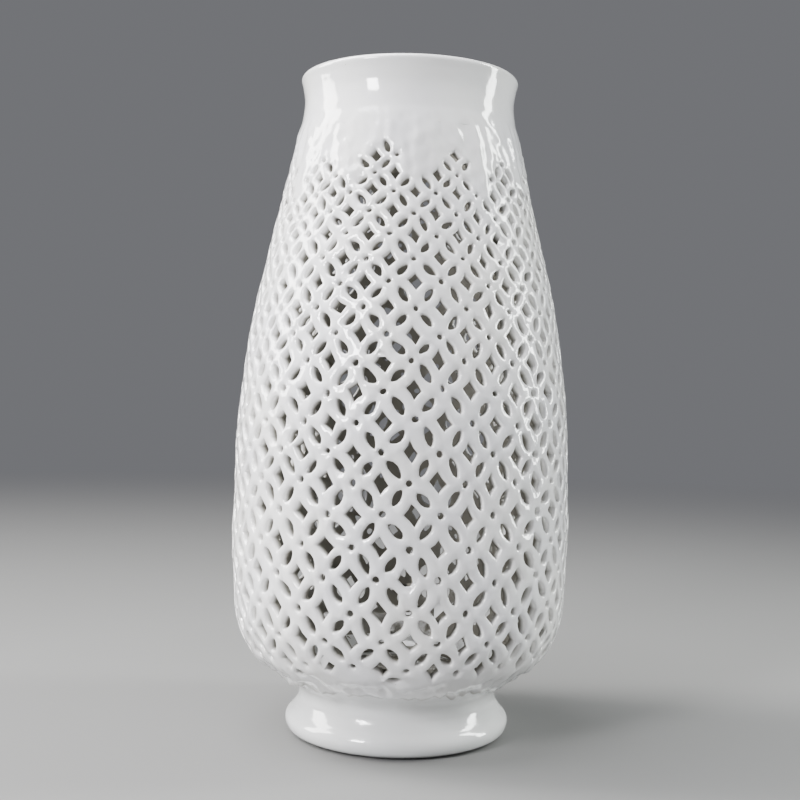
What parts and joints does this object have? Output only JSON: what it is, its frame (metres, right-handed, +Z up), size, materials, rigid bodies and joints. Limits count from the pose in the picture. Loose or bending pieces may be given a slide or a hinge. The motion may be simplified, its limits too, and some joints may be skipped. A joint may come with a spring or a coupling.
{
  "type": "vase",
  "caption": "Tall pierced porcelain vase: a lattice-cut, closed-bottom belly between a plain flared collar and a hollow spool foot.",
  "frame": {"origin": "centre of the resting face, on the axis of the vase", "axes": "+Z up along the axis; -Y is the front; the lattice repeats every 18 degrees round Z"},
  "size_m": [0.1842, 0.1842, 0.356],
  "materials": {
    "white_glaze": "glossy glaze"
  },
  "bodies": {
    "root": {"pierced_wall": "white_glaze", "neck_collar": "white_glaze", "base_flare": "white_glaze", "foot_ring": "white_glaze", "floor_disc": "white_glaze", "floor_joint_slip": "white_glaze", "foot_joint_slip": "white_glaze", "neck_joint_slip": "white_glaze"}
  },
  "joints": []
}
